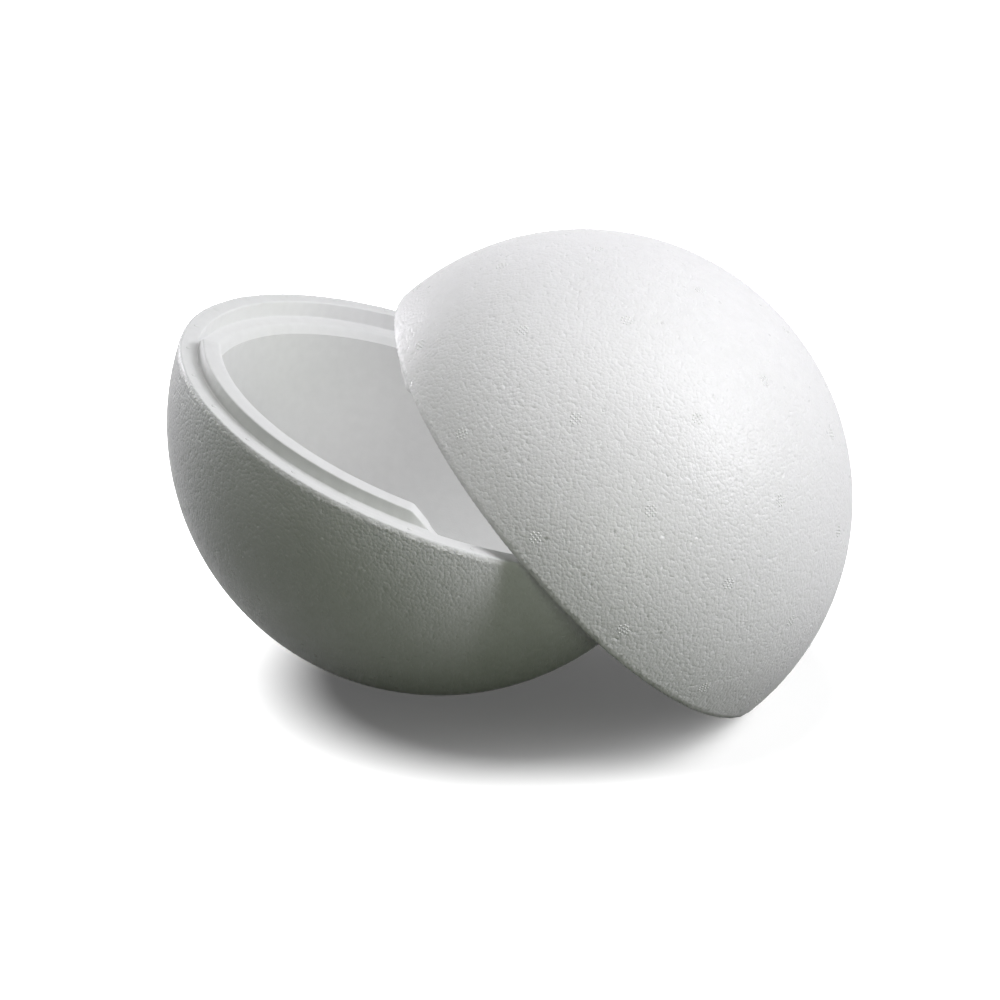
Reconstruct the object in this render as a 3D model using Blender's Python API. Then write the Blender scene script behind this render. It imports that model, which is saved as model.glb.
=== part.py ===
# Hollow polystyrene ball in two identical half shells, shown opened.
# One half lies on its round back as a bowl, and the other leans over it with its rim on the ground.
# Metres, +Z up. The origin is on the ground, below the middle of the pair.

import math

import bmesh
import bpy
from mathutils import Vector

# Sizes of one half shell.
outerRadius = 0.150
wallThickness = 0.0222
tongueHeight = 0.0073
tongueOuterRadius = 0.1386
rebateDepth = 0.0095
jointClearance = 0.0009
tongueArc = math.radians(90.0)
tongueEndSlope = math.radians(31.5)

# How the two halves lie.
bowlTilt = math.radians(19.6)
domeTilt = math.radians(46.1)
bowlTongueStart = math.radians(176.7)
domeTongueStart = math.radians(148.8)
restGap = 0.0004

# Fineness of the turned shapes.
turnSteps = 60
outerSteps = 16
innerSteps = 13

# Reach of the cutter past the surfaces that it leaves through.
cutReach = 0.004

# Sizes that follow from the ones above.
cavityRadius = outerRadius - wallThickness
rebateOuterRadius = tongueOuterRadius + jointClearance
stepAngle = 2 * math.pi / turnSteps


def clear_scene():
    for item in list(bpy.data.objects):
        bpy.data.objects.remove(item, do_unlink=True)
    for mesh in list(bpy.data.meshes):
        bpy.data.meshes.remove(mesh)


def foam_material(name, colour):
    material = bpy.data.materials.new(name)
    material.use_nodes = True
    shader = material.node_tree.nodes["Principled BSDF"]
    shader.inputs["Base Color"].default_value = (*colour, 1.0)
    shader.inputs["Roughness"].default_value = 0.62
    shader.inputs["Metallic"].default_value = 0.0
    shader.inputs["IOR"].default_value = 1.45
    material.diffuse_color = (*colour, 1.0)
    return material


def add_object(name, bm):
    mesh = bpy.data.meshes.new(name)
    bm.to_mesh(mesh)
    bm.free()
    item = bpy.data.objects.new(name, mesh)
    bpy.context.scene.collection.objects.link(item)
    return item


def shell_profile():
    """Section from the back pole round the outside, over the rim and back along the cavity."""
    points = []
    for step in range(outerSteps + 1):
        angle = 0.5 * math.pi * step / outerSteps
        points.append((outerRadius * math.sin(angle), -outerRadius * math.cos(angle)))
    points.append((tongueOuterRadius, 0.0))
    points.append((tongueOuterRadius, tongueHeight))
    points.append((cavityRadius, tongueHeight))
    for step in range(innerSteps + 1):
        angle = 0.5 * math.pi * (1.0 - step / innerSteps)
        points.append((cavityRadius * math.sin(angle), -cavityRadius * math.cos(angle)))
    return points


def turned_shell():
    """The half shell with its tongue running all the way round, turned from its section."""
    bm = bmesh.new()
    profile = [bm.verts.new((radius, 0.0, height)) for radius, height in shell_profile()]
    edges = [bm.edges.new(pair) for pair in zip(profile, profile[1:])]
    bmesh.ops.spin(
        bm,
        geom=profile + edges,
        cent=(0.0, 0.0, 0.0),
        axis=(0.0, 0.0, 1.0),
        angle=2 * math.pi,
        steps=turnSteps,
    )
    bmesh.ops.remove_doubles(bm, verts=bm.verts, dist=0.00001)
    bmesh.ops.recalc_face_normals(bm, faces=bm.faces)
    return bm


def end_shift(height):
    """How far the slanted tongue end has moved round at this height, zero at the rim's level."""
    return height / math.tan(tongueEndSlope) / tongueOuterRadius


def rebate_cutter():
    """The ring sector that takes the tongue away and sinks the rebate, with slanted ends."""
    inner = cavityRadius - 2.0 * cutReach
    low = -rebateDepth
    high = tongueHeight + cutReach
    corners = [(inner, low), (rebateOuterRadius, low), (rebateOuterRadius, high), (inner, high)]
    first = tongueArc
    last = 2 * math.pi
    # The regular stations lie half a step off the shell's own, clear of both slanted ends.
    reach = max(abs(end_shift(low)), abs(end_shift(high))) + 0.3 * stepAngle
    count = max(3, int((last - first - 2 * reach) / stepAngle))
    stations = [first + reach + (last - first - 2 * reach) * step / count for step in range(count + 1)]
    bm = bmesh.new()
    rings = []
    for index in range(count + 3):
        ring = []
        for radius, height in corners:
            if index == 0:
                angle = first - end_shift(height)
            elif index == count + 2:
                angle = last + end_shift(height)
            else:
                angle = stations[index - 1]
            ring.append(bm.verts.new((radius * math.cos(angle), radius * math.sin(angle), height)))
        rings.append(ring)
    for ring, following in zip(rings, rings[1:]):
        for corner in range(4):
            beside = (corner + 1) % 4
            bm.faces.new((ring[corner], ring[beside], following[beside], following[corner]))
    bm.faces.new(rings[0])
    bm.faces.new(list(reversed(rings[-1])))
    bmesh.ops.recalc_face_normals(bm, faces=bm.faces)
    return bm


def half_shell(name, material, cutter):
    item = add_object(name, turned_shell())
    item.data.materials.append(material)
    cut = item.modifiers.new("rebate", "BOOLEAN")
    cut.operation = "DIFFERENCE"
    cut.solver = "EXACT"
    cut.object = cutter
    item.data.shade_smooth()
    item.data.set_sharp_from_angle(angle=math.radians(30.0))
    return item


def place(item, position, tilt, turn):
    """Turns the shell about its own axis first, then tilts it about the ground's Y axis."""
    item.rotation_mode = "ZYX"
    item.rotation_euler = (0.0, tilt, turn)
    item.location = position


def dome_offset():
    """Distance along X between the two ball centres.

    The bowl's outer rim edge crosses the plane of the dome's rim at two points. There the dome's
    rebate edge rests against it, so the crossing lies on the rebate's radius less the gap.
    """
    ratio = math.sin(bowlTilt) / math.sin(domeTilt)
    lift = (1.0 - math.sin(domeTilt)) / math.sin(domeTilt)
    seat = (rebateOuterRadius - restGap) / outerRadius
    square = 1.0 - ratio * ratio
    middle = ratio * lift
    rest = lift * lift + 1.0 - seat * seat
    crossing = (math.sqrt(middle * middle + square * rest) - middle) / square
    along = crossing * math.sin(domeTilt - bowlTilt)
    return outerRadius * (along / math.sin(domeTilt) + lift * math.cos(domeTilt))


def build():
    clear_scene()
    cutter = add_object("rebate_cutter", rebate_cutter())
    cutter.hide_render = True
    cutter.display_type = "WIRE"

    white = (0.83, 0.84, 0.835)
    bowl = half_shell("bowl_half", foam_material("bowl_foam", white), cutter)
    dome = half_shell("dome_half", foam_material("dome_foam", white), cutter)

    # The cutter follows each shell, so each gets its own copy in place.
    second = cutter.copy()
    second.data = cutter.data.copy()
    second.name = "dome_rebate_cutter"
    bpy.context.scene.collection.objects.link(second)
    second.hide_render = True
    second.display_type = "WIRE"
    dome.modifiers["rebate"].object = second

    offset = dome_offset()
    bowlCentre = Vector((-0.5 * offset, 0.0, outerRadius))
    domeCentre = Vector((0.5 * offset, 0.0, outerRadius * math.sin(domeTilt)))
    place(bowl, bowlCentre, bowlTilt, -bowlTongueStart)
    place(cutter, bowlCentre, bowlTilt, -bowlTongueStart)
    place(dome, domeCentre, domeTilt + math.pi, domeTongueStart + math.pi)
    place(second, domeCentre, domeTilt + math.pi, domeTongueStart + math.pi)


build()
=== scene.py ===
import math
import random

import bpy
from mathutils import Matrix, Vector
from mathutils.geometry import delaunay_2d_cdt


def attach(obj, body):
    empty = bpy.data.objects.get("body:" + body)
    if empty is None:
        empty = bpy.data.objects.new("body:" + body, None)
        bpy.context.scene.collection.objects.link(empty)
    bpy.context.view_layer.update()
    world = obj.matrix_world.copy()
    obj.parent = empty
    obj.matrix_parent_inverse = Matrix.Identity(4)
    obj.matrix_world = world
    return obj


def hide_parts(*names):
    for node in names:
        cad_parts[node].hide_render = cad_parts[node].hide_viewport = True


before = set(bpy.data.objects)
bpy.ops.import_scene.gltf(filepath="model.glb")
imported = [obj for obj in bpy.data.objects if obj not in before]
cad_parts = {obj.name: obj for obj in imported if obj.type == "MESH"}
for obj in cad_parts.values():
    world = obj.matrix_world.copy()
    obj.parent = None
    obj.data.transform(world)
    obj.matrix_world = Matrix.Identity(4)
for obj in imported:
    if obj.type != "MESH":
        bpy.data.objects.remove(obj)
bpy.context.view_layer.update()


def linearOf(hexColour):
    out = []
    for at in (1, 3, 5):
        value = int(hexColour[at:at + 2], 16) / 255
        out.append(value / 12.92 if value <= 0.04045 else ((value + 0.055) / 1.055) ** 2.4)
    return (*out, 1.0)


def addNode(tree, kind, settings=None, links=None):
    node = tree.nodes.new(kind)
    for name, value in (settings or {}).items():
        if name in node.inputs.keys() and not hasattr(node, name):
            node.inputs[name].default_value = value
        else:
            setattr(node, name, value)
    for name, source in (links or {}).items():
        tree.links.new(source, node.inputs[name])
    return node


def newMaterial(name):
    material = bpy.data.materials.new(name)
    material.use_nodes = True
    tree = material.node_tree
    tree.nodes.clear()
    return material, tree


# expanded polystyrene, steam moulded: white and matt with a faint waxy sheen that differs
# from bead to bead, and light soaks a few millimetres into its closed cells
beadFoam = {
    "skin": ("#ECEBEC", "#F5F4F6"),     # the white drifts slowly from bead to bead
    # the rim faces, the step and the hollow take a darker copy of the same white foam: painted shade
    "inside": ("#DADADA", "#E3E3E3"),
    # the vent nubs are the same white foam, toned a little lighter than the skin: painted highlight
    "nubs": ("#F0F0F0", "#F7F7F7"),
    "drift": 0.006,
    "beadSize": 0.0017,     # small beads between the modelled ones
    "shaken": 0.85,         # how far they lie off a regular grid
    "beadHigh": 0.00024,
    "pitShape": 2.8,        # above 1 the grooves stay shallow and the pits between beads narrow
    "cell": 0.0009,         # cells inside one bead are 0.2 mm, drawn coarse enough to show
    "cellHigh": 0.00005,
    "gloss": (0.26, 0.50),  # roughness of the shiniest and the dullest bead on the outside
    "roughInside": 0.50,
    "ior": 1.42,
    "glow": 0.14,
    "glowReach": 0.006,
    "glowTint": (1.0, 1.0, 0.95),
}


def mouldedBeadFoam(name, tones, isSkin, soaks):
    material, tree = newMaterial(name)
    place = addNode(tree, "ShaderNodeTexCoord")
    drift = addNode(tree, "ShaderNodeTexNoise", {"Scale": 1.0 / beadFoam["drift"], "Detail": 3.0},
                    {"Vector": place.outputs["Object"]})
    cells = addNode(tree, "ShaderNodeTexNoise", {"Scale": 1.0 / beadFoam["cell"], "Detail": 2.0},
                    {"Vector": place.outputs["Object"]})
    # a colour mix has its two colours in inputs 6 and 7, and its result in output 2
    tint = addNode(tree, "ShaderNodeMix", {"data_type": "RGBA"}, {"Factor": drift.outputs["Fac"]})
    tint.inputs[6].default_value = linearOf(tones[0])
    tint.inputs[7].default_value = linearOf(tones[1])
    relief = addNode(tree, "ShaderNodeBump", {"Strength": 1.0, "Distance": beadFoam["cellHigh"]},
                     {"Height": cells.outputs["Fac"]})
    shader = addNode(tree, "ShaderNodeBsdfPrincipled",
                     {"Roughness": beadFoam["roughInside"], "IOR": beadFoam["ior"]},
                     {"Base Color": tint.outputs[2]})
    if isSkin:
        grains = addNode(tree, "ShaderNodeTexVoronoi",
                         {"Scale": 1.0 / beadFoam["beadSize"], "Randomness": beadFoam["shaken"]},
                         {"Vector": place.outputs["Object"]})
        pits = addNode(tree, "ShaderNodeMath", {"operation": "POWER"})
        tree.links.new(grains.outputs["Distance"], pits.inputs[0])
        pits.inputs[1].default_value = beadFoam["pitShape"]
        relief = addNode(tree, "ShaderNodeBump",
                         {"Strength": 1.0, "Distance": beadFoam["beadHigh"], "invert": True},
                         {"Height": pits.outputs["Value"], "Normal": relief.outputs["Normal"]})
        gloss = addNode(tree, "ShaderNodeMapRange",
                        {"To Min": beadFoam["gloss"][0], "To Max": beadFoam["gloss"][1]},
                        {"Value": grains.outputs["Color"]})
        tree.links.new(gloss.outputs["Result"], shader.inputs["Roughness"])
    tree.links.new(relief.outputs["Normal"], shader.inputs["Normal"])
    if soaks:
        shader.inputs["Subsurface Weight"].default_value = beadFoam["glow"]
        shader.inputs["Subsurface Scale"].default_value = beadFoam["glowReach"]
        shader.inputs["Subsurface Radius"].default_value = beadFoam["glowTint"]
    addNode(tree, "ShaderNodeOutputMaterial", None, {"Surface": shader.outputs["BSDF"]})
    return material


foamSkin = mouldedBeadFoam("moulded_bead_foam_skin", beadFoam["skin"], True, True)
# the darker white on the rim faces and in the hollow is painted shade
foamInsidePaintedShade = mouldedBeadFoam("moulded_bead_foam_inside_painted_shade", beadFoam["inside"], False, True)
# the nubs' lighter white is painted highlight on the same foam
foamNubPaintedHighlight = mouldedBeadFoam("moulded_bead_foam_nubs_painted_highlight", beadFoam["nubs"], False, False)
# the pin prints on the rim band share its darker white, which is painted shade
foamPin = mouldedBeadFoam("moulded_bead_foam_pin_prints", beadFoam["inside"], False, False)
print("materials ready")

# one moulded half shell, metres and degrees, mouth up and its ball's centre at the origin
halfShell = {
    "radius": 0.14965,
    "cavityRadius": 0.1278,
    "tongueOuter": 0.1386,
    "rebateOuter": 0.1395,
    "tongueHigh": 0.0073,
    "rebateDeep": 0.0095,
    "tongueArc": 90.0,
    "endSlope": 31.5,
    "endSoft": 0.0006,      # rounding where the slanted tongue ends meet flat faces
    "columns": 540,         # stations round the rim
    "outerRound": 0.0005,
    "stepRound": 0.0007,
    "innerRound": (0.0045, 0.0018),     # at the rebate, at the tongue
    "skinTop": 0.0018,      # the beaded skin stops this far below the rim
    "cavityTop": 0.016,     # and the plain cavity skin this far
    "edgeBite": 0.0012,     # how far the beads make the rim's edges ragged
    "biteDeep": (0.5, 1.0),         # shares of it: between two beads,
    "biteShallow": (0.0, 0.3),      # on a bead,
    "biteStep": 0.08,               # and on the step's wall
    "footWide": 0.0009,     # thin flash line along the foot of the tongue
    "footHigh": 0.00035,
    "bandInset": 0.0012,    # flat rim band's edge loop, in from the outer rounding
    "landInset": 0.0009,    # the step's top edge loops, in from its roundings
    "stepBlend": 0.002,     # height over which tongue radii pass into rebate radii
    "footFrom": 0.001,      # the flash line starts at this tongue height
    "footOver": 0.002,      # and is full this much higher
    "stepShare": 0.48,      # a rounding takes at most this share of the step's height
    "thinnest": 0.00004,    # rounding left where the step has almost no height
    "smoothAngle": 62.0,
    "cavityRings": (0.15, 0.6, 1.0),    # where rings lie on the plain cavity skin's top
}


def softOver(value, soft):
    # max(value, 0) with a rounded corner
    return 0.5 * (value + math.sqrt(value * value + soft * soft))


def tongueHeightAt(degrees):
    # height of the step at this angle: tongue above the rim's level, rebate below it
    s = halfShell
    if degrees > s["tongueArc"] * 0.5 + 180.0:
        degrees -= 360.0
    inside = min(degrees, s["tongueArc"] - degrees)
    height = math.radians(inside) * s["tongueOuter"] * math.tan(math.radians(s["endSlope"]))
    soft = s["endSoft"]
    height = s["tongueHigh"] - softOver(s["tongueHigh"] - height, soft)
    return softOver(height + s["rebateDeep"], soft) - s["rebateDeep"]


def rimSection(height, bite):
    # section across the rim at one station, from the outer skin's edge to the cavity;
    # bite says how far it is eaten in at the outer edge, down there, and in at the step
    s = halfShell
    big, cav = s["radius"], s["cavityRadius"]
    side = 1.0 if height >= 0 else -1.0
    blend = min(1.0, max(0.0, 0.5 + height / s["stepBlend"]))
    wall = s["rebateOuter"] + (s["tongueOuter"] - s["rebateOuter"]) * blend
    f = max(s["thinnest"], min(s["stepRound"], s["stepShare"] * abs(height)))
    e = s["outerRound"]
    g = s["innerRound"][0] + (s["innerRound"][1] - s["innerRound"][0]) * blend
    k = math.sqrt(0.5)      # middle of a quarter round
    inset = s["landInset"]
    foot = s["footHigh"] * min(1.0, max(0.0, (height - s["footFrom"]) / s["footOver"]))
    low = -s["skinTop"]
    points = [
        (math.sqrt(big * big - low * low) + 0.5 * bite[0], low),
        (math.sqrt(big * big - e * e) + bite[0], -e),
        (big - e + e * k + bite[0], -e + e * k + 0.5 * bite[1]),
        (big - e + 0.7 * bite[0], 0.3 * bite[1]),
        (big - e - s["bandInset"], 0.0),
        (0.5 * (big + wall), 0.0),
        (wall + f + s["footWide"], 0.0),
        (wall + f + 0.5 * s["footWide"], foot),
        (wall + f, 0.0),
        (wall + f - f * k, side * (f - f * k)),
        (wall + bite[2], side * f),
        (wall + bite[2], height - side * f),
        (wall - f + f * k + bite[2], height - side * f + side * f * k),
        (wall - f + bite[2], height),
        (wall - f - inset, height),
        (cav + g + inset, height),
        (cav + g, height),
        (cav + g - g * k, height - g + g * k),
        (cav, height - g),
    ]
    last = -s["cavityTop"]
    for share in s["cavityRings"]:
        z = (height - g) + (last - height + g) * share
        points.append((math.sqrt(cav * cav - min(z, 0.0) ** 2), z))
    return points


# the fused beads that show on the outside
beads = {
    "gap": 0.00252,         # real beads are 2 to 3 mm across
    "jitter": 0.40,
    "pit": (0.00004, 0.00011),
    "deepPit": 0.00030,
    "deepShare": 0.05,
    "rimShare": 0.3,        # pits beside the rim are this much shallower
    "swell": 0.00003,
    "cellShare": 0.866,     # area that one bead takes, in gaps squared
    "rimClear": 0.62,       # gaps left free beside the rim's ring
    "cavityGap": 0.0058,
    "cavityJitter": 0.15,
}


def capOf(radius, rimLow, gap, jitter, seed):
    # bead centres on a ball below the plane z = -rimLow, spun on a spiral and shaken
    rng = random.Random(seed)
    total = int(4 * math.pi * radius * radius / (beads["cellShare"] * gap * gap))
    turn = math.pi * (3 - math.sqrt(5))
    centres = []
    for i in range(total):
        z = -1 + (2 * i + 1) / total
        if z * radius > -rimLow:
            break
        ring = math.sqrt(1 - z * z)
        p = Vector((ring * math.cos(i * turn), ring * math.sin(i * turn), z))
        p += Vector((rng.uniform(-1, 1), rng.uniform(-1, 1), rng.uniform(-1, 1))) * (jitter * gap / radius)
        p.normalize()
        if p.z * radius < -rimLow - beads["rimClear"] * gap * math.sqrt(max(0.0, 1 - p.z * p.z)):
            centres.append(p)
    return centres


def flat(p):
    # seen from the top of the ball on to a plane: circles stay circles
    return Vector((p.x / (1 - p.z), p.y / (1 - p.z)))


def skinOfCap(mesh, ringIds, radius, rimLow, centres, pits, seed, inward):
    # joins bead centres to each other and to the rim's ring, and sinks a pit where three beads meet
    rng = random.Random(seed)
    columns = len(ringIds)
    drop = rimLow / radius
    ring = math.sqrt(1 - drop * drop)
    around = []
    for i in range(columns):
        a = 2 * math.pi * i / columns
        around.append(flat(Vector((ring * math.cos(a), ring * math.sin(a), -drop))))
    points = around + [flat(p) for p in centres]
    edges = [(i, (i + 1) % columns) for i in range(columns)]
    out = delaunay_2d_cdt(points, edges, [], 0, 1e-9, True)
    verts2d, faces, origins = out[0], out[2], out[3]
    index = []
    for at, origin in zip(verts2d, origins):
        if origin and origin[0] < columns:
            index.append(ringIds[origin[0]])
            continue
        p = centres[origin[0] - columns] if origin else None
        if p is None:
            w = at.x * at.x + at.y * at.y
            p = Vector((2 * at.x, 2 * at.y, w - 1)) / (w + 1)
        lift = rng.uniform(-1, 1) * pits["swell"] if pits else 0.0
        index.append(mesh.point(p * (radius + lift)))
    beside = {}
    for number, face in enumerate(faces):
        for a, b in zip(face, face[1:] + face[:1]):
            beside[(a, b)] = number
    if not pits:
        for face in faces:
            mesh.face([index[v] for v in face], inward)
        return
    corner = []
    for face in faces:
        middle = sum((mesh.points[index[v]] for v in face), Vector()) / 3
        deep = pits["deepPit"] if rng.random() < pits["deepShare"] else rng.uniform(*pits["pit"])
        if any(index[v] in mesh.rim for v in face):
            deep *= pits["rimShare"]
        corner.append(mesh.point(middle.normalized() * (radius - deep)))
    mesh.pits.update(corner)
    for (a, b), number in beside.items():
        other = beside.get((b, a))
        if other is None:
            mesh.face([index[a], index[b], corner[number]], inward)
        else:
            mesh.face([index[a], corner[other], corner[number]], inward)


class ShellMesh:
    def __init__(self):
        self.points = []
        self.faces = []
        self.kinds = []
        self.kind = 0
        self.rim = set()
        self.pits = set()

    def point(self, p):
        self.points.append(Vector(p))
        return len(self.points) - 1

    def face(self, ids, flip=False):
        self.faces.append(tuple(reversed(ids)) if flip else tuple(ids))
        self.kinds.append(self.kind)


def buildHalf(name, seed, place):
    s = halfShell
    columns = s["columns"]
    rng = random.Random(seed)
    mesh = ShellMesh()
    rings = []
    for i in range(columns):
        degrees = 360.0 * i / columns
        a = math.radians(degrees)
        # every other station sits between two beads
        deep = rng.uniform(*s["biteDeep"]) if i % 2 else rng.uniform(*s["biteShallow"])
        bite = [-deep * s["edgeBite"], -0.5 * deep * s["edgeBite"],
                rng.gauss(0, s["biteStep"]) * s["edgeBite"]]
        section = rimSection(tongueHeightAt(degrees), bite)
        rings.append([mesh.point((r * math.cos(a), r * math.sin(a), z)) for r, z in section])
    outer = [ids[0] for ids in rings]
    inner = [ids[-1] for ids in rings]
    mesh.rim = set(outer)
    for i in range(columns):
        here, there = rings[i], rings[(i + 1) % columns]
        for k in range(len(here) - 1):
            mesh.kind = 0 if k < 2 else 1
            mesh.face([here[k], there[k], there[k + 1], here[k + 1]])
    mesh.kind = 0
    centres = capOf(s["radius"], s["skinTop"], beads["gap"], beads["jitter"], seed + 1)
    skinOfCap(mesh, outer, s["radius"], s["skinTop"], centres, beads, seed + 2, True)
    mesh.kind = 1
    centres = capOf(s["cavityRadius"], s["cavityTop"], beads["cavityGap"], beads["cavityJitter"], seed + 3)
    skinOfCap(mesh, inner, s["cavityRadius"], s["cavityTop"], centres, None, seed + 4, False)

    data = bpy.data.meshes.new(name)
    data.from_pydata([place @ p for p in mesh.points], [], mesh.faces)
    for face, kind in zip(data.polygons, mesh.kinds):
        face.material_index = kind
    data.update()
    piece = bpy.data.objects.new(name, data)
    bpy.context.scene.collection.objects.link(piece)
    bpy.ops.object.select_all(action="DESELECT")
    piece.select_set(True)
    bpy.context.view_layer.objects.active = piece
    bpy.ops.object.shade_smooth_by_angle(angle=math.radians(s["smoothAngle"]))
    for edge in data.edges:
        # a crease between two beads runs from pit to pit
        if edge.vertices[0] in mesh.pits and edge.vertices[1] in mesh.pits:
            edge.use_edge_sharp = True
    data.materials.append(foamSkin)
    # the second slot, for the rim faces and the hollow, is the darker copy of the foam: painted shade
    data.materials.append(foamInsidePaintedShade)
    print(name, "points", len(data.vertices), "faces", len(data.polygons))
    return piece


# prints that the mould's steam vents leave: rings of nub clusters on the outside
vents = {
    "rings": ((84.3, 14, -17.1), (64.0, 14, -28.5), (44.0, 10, -10.0), (24.0, 6, 5.0), (0.0, 1, 0.0)),
    "pitch": 0.00172,
    "nubRadius": 0.00066,
    "nubHigh": 0.00020,
    "sunk": 0.00006,
    "steps": (-1.5, -0.5, 0.5, 1.5),    # a cluster is a square of nubs without its corners
}

# round pin prints along the flat rim band
pinPrints = {"count": 27, "offset": 6.0, "at": 0.1446, "radius": 0.00125, "high": 0.00005}


def flatBall(name, radius, high, segments):
    bpy.ops.object.select_all(action="DESELECT")
    bpy.ops.mesh.primitive_uv_sphere_add(segments=segments, ring_count=4, radius=radius)
    ball = bpy.context.active_object
    ball.name = name
    ball.data.transform(Matrix.Diagonal((1.0, 1.0, high / radius, 1.0)))
    return ball


def copyTo(thing, at, up, copies):
    copy = thing.copy()
    copy.data = thing.data.copy()
    copy.data.transform(Matrix.Translation(at) @ up.to_track_quat("Z", "Y").to_matrix().to_4x4())
    bpy.context.scene.collection.objects.link(copy)
    copies.append(copy)


def buildPrints(name, seed, place, rings):
    rng = random.Random(seed + 7)
    radius = halfShell["radius"]
    nub = flatBall("vent_nub", vents["nubRadius"], vents["nubHigh"], 8)
    nub.data.materials.append(foamNubPaintedHighlight)
    pinMark = flatBall("pin_print", pinPrints["radius"], pinPrints["high"], 12)
    pinMark.data.materials.append(foamPin)
    steps = vents["steps"]
    cluster = [(x, y) for x in steps for y in steps if abs(x) + abs(y) < 2 * steps[-1]]
    copies = []
    for colatitude, count, first in rings:
        for i in range(count):
            around = math.radians(first + 360.0 * i / count)
            down = math.radians(colatitude)
            up = Vector((math.sin(down) * math.cos(around), math.sin(down) * math.sin(around),
                         -math.cos(down)))
            along = Vector((-math.sin(around), math.cos(around), 0.0))
            across = up.cross(along)
            turn = rng.uniform(0, math.pi)
            for x, y in cluster:
                u = (x * math.cos(turn) - y * math.sin(turn)) * vents["pitch"]
                w = (x * math.sin(turn) + y * math.cos(turn)) * vents["pitch"]
                centre = (up * radius + along * u + across * w).normalized()
                copyTo(nub, centre * (radius - vents["sunk"]), centre, copies)
    for i in range(pinPrints["count"]):
        a = math.radians(pinPrints["offset"] + 360.0 * i / pinPrints["count"])
        copyTo(pinMark, Vector((math.cos(a), math.sin(a), 0.0)) * pinPrints["at"], Vector((0, 0, 1)), copies)
    bpy.ops.object.select_all(action="DESELECT")
    for copy in copies:
        copy.data.transform(place)
        copy.select_set(True)
    bpy.context.view_layer.objects.active = copies[0]
    bpy.ops.object.join()
    piece = bpy.context.active_object
    piece.name = name
    piece.data.shade_smooth()
    bpy.data.objects.remove(nub)
    bpy.data.objects.remove(pinMark)
    return piece


# how the two halves lie
pose = {
    "ballRadius": 0.150,
    "apart": 0.0794079,
    "bowlTilt": 19.6,
    "domeTilt": 46.1,
    "bowlTongue": 176.7,
    "domeTongue": 148.8,
}

bowlPlace = (Matrix.Translation((-0.5 * pose["apart"], 0.0, pose["ballRadius"]))
             @ Matrix.Rotation(math.radians(pose["bowlTilt"]), 4, "Y")
             @ Matrix.Rotation(-math.radians(pose["bowlTongue"]), 4, "Z"))
domeHeight = pose["ballRadius"] * math.sin(math.radians(pose["domeTilt"]))
domePlace = (Matrix.Translation((0.5 * pose["apart"], 0.0, domeHeight))
             @ Matrix.Rotation(math.radians(pose["domeTilt"]) + math.pi, 4, "Y")
             @ Matrix.Rotation(math.radians(pose["domeTongue"]) + math.pi, 4, "Z"))

shells = []
# the bowl half shows no vent prints on the side that faces the camera, so it has none
halves = (
    ("bowl_half", 11, bowlPlace, ()),
    ("dome_half", 47, domePlace, vents["rings"]),
)
for node, seed, place, rings in halves:
    piece = buildHalf(node.split("_")[0] + "_shell", seed, place)
    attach(piece, "root")
    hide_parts(node)
    prints = buildPrints(node.split("_")[0] + "_mould_prints", seed, place, rings)
    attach(prints, "root")
    shells += [piece, prints]
print("half shells ready")

# large softboxes far off: bearing (0 is along +X, -90 is the camera's side), height angle,
# brightness of a white sheet that faces it, how wide it looks in degrees, and its colour
lights = {
    "rightHigh": (0.0, 50.0, 0.325, 32.0, "#FAFEFF"),
    "rightMiddle": (-13.0, 28.0, 0.475, 26.0, "#FCFAFF"),
    "overheadFront": (-30.0, 72.0, 0.165, 36.0, "#FFFAFB"),
    "overheadBack": (150.0, 72.0, 0.150, 36.0, "#FBFFFE"),
    "backLeft": (135.0, 8.0, 0.365, 20.0, "#FCFAFF"),
    "leftLow": (157.5, 8.0, 0.130, 20.0, "#F8FFF6"),
    "frontFill": (-67.5, 8.0, 0.125, 20.0, "#F0FFDE"),
}

# a softbox on the left that only reaches the upper shell
domeLamp = (-145.0, 60.0, 0.110, 40.0, "#FFFDFF")

# light that comes through the upper shell's wall into the hollow: place, watts, how large
throughWall = ((-0.020, 0.0, 0.115), 0.128, 0.040)

# the floor has its own softboxes, which give the shadow below the object
floorLamps = {
    "floorLeft": (170.3, 68.0, 9.2, 49.0, "#FFFFFF"),
    "floorRight": (10.3, 21.2, 11.4, 64.7, "#FFFFFF"),
}

# to the camera the lit floor is white and its shadow a flat grey, in the object's sheen it is
# as bright as the white around it, and it hardly lights the object
floorTone = {"seen": "#7C7C7C", "lift": 0.105, "inSheen": "#4C4C4C", "bounce": "#040404"}
floorWide = 12.0
lampFar = 2.0       # a far lamp's object stands here, its light comes from beyond


def newLamp(name, kind, energy, litThings):
    data = bpy.data.lights.new(name, kind)
    data.energy = energy
    lamp = bpy.data.objects.new(name, data)
    bpy.context.scene.collection.objects.link(lamp)
    lit = bpy.data.collections.new(name + "_lit")
    for thing in litThings:
        lit.objects.link(thing)
    lamp.light_linking.receiver_collection = lit
    return lamp


def farLamp(name, bearing, height, level, wide, colour, litThings):
    lamp = newLamp(name, "SUN", math.pi * level, litThings)
    lamp.data.angle = math.radians(wide)
    lamp.data.color = linearOf(colour)[:3]
    b, h = math.radians(bearing), math.radians(height)
    towards = Vector((math.cos(h) * math.cos(b), math.cos(h) * math.sin(b), math.sin(h)))
    lamp.location = towards * lampFar
    lamp.rotation_euler = towards.to_track_quat("Z", "Y").to_euler()


def inSheenOrGlass(tree, path):
    either = addNode(tree, "ShaderNodeMath", {"operation": "MAXIMUM"})
    tree.links.new(path.outputs["Is Glossy Ray"], either.inputs[0])
    tree.links.new(path.outputs["Is Transmission Ray"], either.inputs[1])
    return either.outputs["Value"]


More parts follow.
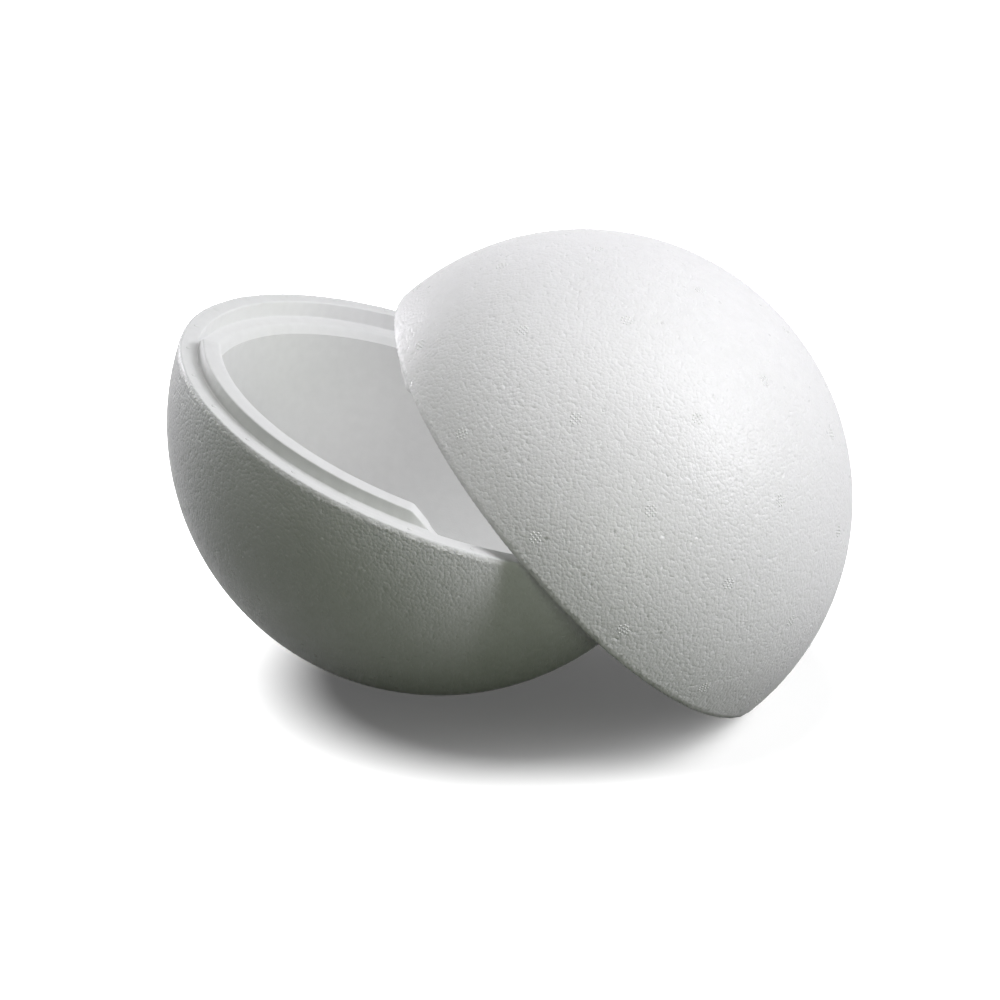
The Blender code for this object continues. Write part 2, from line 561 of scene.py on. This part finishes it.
def paleFloor():
    material, tree = newMaterial("pale_floor")
    path = addNode(tree, "ShaderNodeLightPath")
    mirrored = addNode(tree, "ShaderNodeMix", {"data_type": "RGBA"}, {"Factor": inSheenOrGlass(tree, path)})
    mirrored.inputs[6].default_value = linearOf(floorTone["bounce"])
    mirrored.inputs[7].default_value = linearOf(floorTone["inSheen"])
    tone = addNode(tree, "ShaderNodeMix", {"data_type": "RGBA"}, {"Factor": path.outputs["Is Camera Ray"]})
    tree.links.new(mirrored.outputs[2], tone.inputs[6])
    tone.inputs[7].default_value = linearOf(floorTone["seen"])
    matt = addNode(tree, "ShaderNodeBsdfDiffuse", None, {"Color": tone.outputs[2]})
    lift = addNode(tree, "ShaderNodeMath", {"operation": "MULTIPLY"})
    tree.links.new(path.outputs["Is Camera Ray"], lift.inputs[0])
    lift.inputs[1].default_value = floorTone["lift"]
    veil = addNode(tree, "ShaderNodeEmission", {"Color": linearOf("#FFFFFF")},
                   {"Strength": lift.outputs["Value"]})
    both = addNode(tree, "ShaderNodeAddShader")
    tree.links.new(matt.outputs["BSDF"], both.inputs[0])
    tree.links.new(veil.outputs["Emission"], both.inputs[1])
    addNode(tree, "ShaderNodeOutputMaterial", None, {"Surface": both.outputs["Shader"]})
    bpy.ops.object.select_all(action="DESELECT")
    bpy.ops.mesh.primitive_plane_add(size=floorWide, location=(0.0, 0.0, 0.0))
    floor = bpy.context.active_object
    floor.name = "floor"
    floor.data.materials.append(material)
    return floor


floor = paleFloor()
for name, row in lights.items():
    farLamp(name, *row, shells)
farLamp("domeLeft", *domeLamp, shells[2:])
for name, row in floorLamps.items():
    farLamp(name, *row, [floor])
place, watts, size = throughWall
inner = newLamp("throughWall", "POINT", watts, shells)
inner.location = place
inner.data.shadow_soft_size = size
inner.visible_camera = False

# the white all round shows to the camera and in the sheen, and lights nothing
world = bpy.data.worlds.new("studio")
world.use_nodes = True
bpy.context.scene.world = world
tree = world.node_tree
tree.nodes.clear()
white = addNode(tree, "ShaderNodeBackground", {"Color": linearOf("#FFFFFF"), "Strength": 1.0})
dark = addNode(tree, "ShaderNodeBackground", {"Color": linearOf("#FFFFFF"), "Strength": 0.0})
path = addNode(tree, "ShaderNodeLightPath")
seen = addNode(tree, "ShaderNodeMath", {"operation": "MAXIMUM"})
tree.links.new(path.outputs["Is Camera Ray"], seen.inputs[0])
tree.links.new(inSheenOrGlass(tree, path), seen.inputs[1])
mix = addNode(tree, "ShaderNodeMixShader", None, {"Fac": seen.outputs["Value"]})
tree.links.new(dark.outputs["Background"], mix.inputs[1])
tree.links.new(white.outputs["Background"], mix.inputs[2])
addNode(tree, "ShaderNodeOutputWorld", None, {"Surface": mix.outputs["Shader"]})

# metres and degrees, fitted to the photograph's outlines
camera = {
    "place": (0.09066, -1.42087, 0.72445),
    "turn": (66.5086, -0.6923, 4.1850),
    "lens": 100.297,
    "sensor": 36.0,
    "clip": (0.05, 50.0),
}

lens = bpy.data.cameras.new("camera")
lens.lens = camera["lens"]
lens.sensor_width = camera["sensor"]
lens.clip_start, lens.clip_end = camera["clip"]
eye = bpy.data.objects.new("camera", lens)
eye.location = camera["place"]
eye.rotation_euler = [math.radians(v) for v in camera["turn"]]
bpy.context.scene.collection.objects.link(eye)
bpy.context.scene.camera = eye
bpy.context.scene.view_settings.view_transform = "Standard"
print("light and camera ready")
